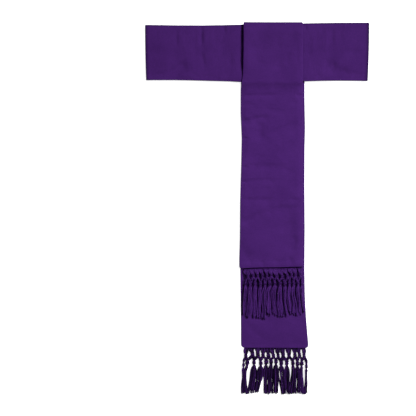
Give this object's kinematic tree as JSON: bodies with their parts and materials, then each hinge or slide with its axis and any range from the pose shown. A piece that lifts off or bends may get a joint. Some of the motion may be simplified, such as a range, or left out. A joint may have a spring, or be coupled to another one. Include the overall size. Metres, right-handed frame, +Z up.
{
  "type": "cincture",
  "caption": "Purple cloth cincture laid out flat in a T: a wide looped waistband with a strip folded over it whose two falls end in knotted fringe.",
  "frame": {"origin": "on the surface that the cincture lies on, under the middle of the place where the hanging strip crosses the waistband", "axes": "+X along the waistband, +Y along the falls towards the waistband's upper edge, +Z up off the surface"},
  "size_m": [0.5066, 0.8454, 0.0139],
  "materials": {
    "purple_cloth": "matt with a slight sheen",
    "fringe_thread": "twisted rayon thread"
  },
  "bodies": {
    "root": {"waistband": "purple_cloth", "front_tail": "purple_cloth", "rear_tail": "purple_cloth", "front_fringe": "fringe_thread", "rear_fringe": "fringe_thread"}
  },
  "joints": []
}
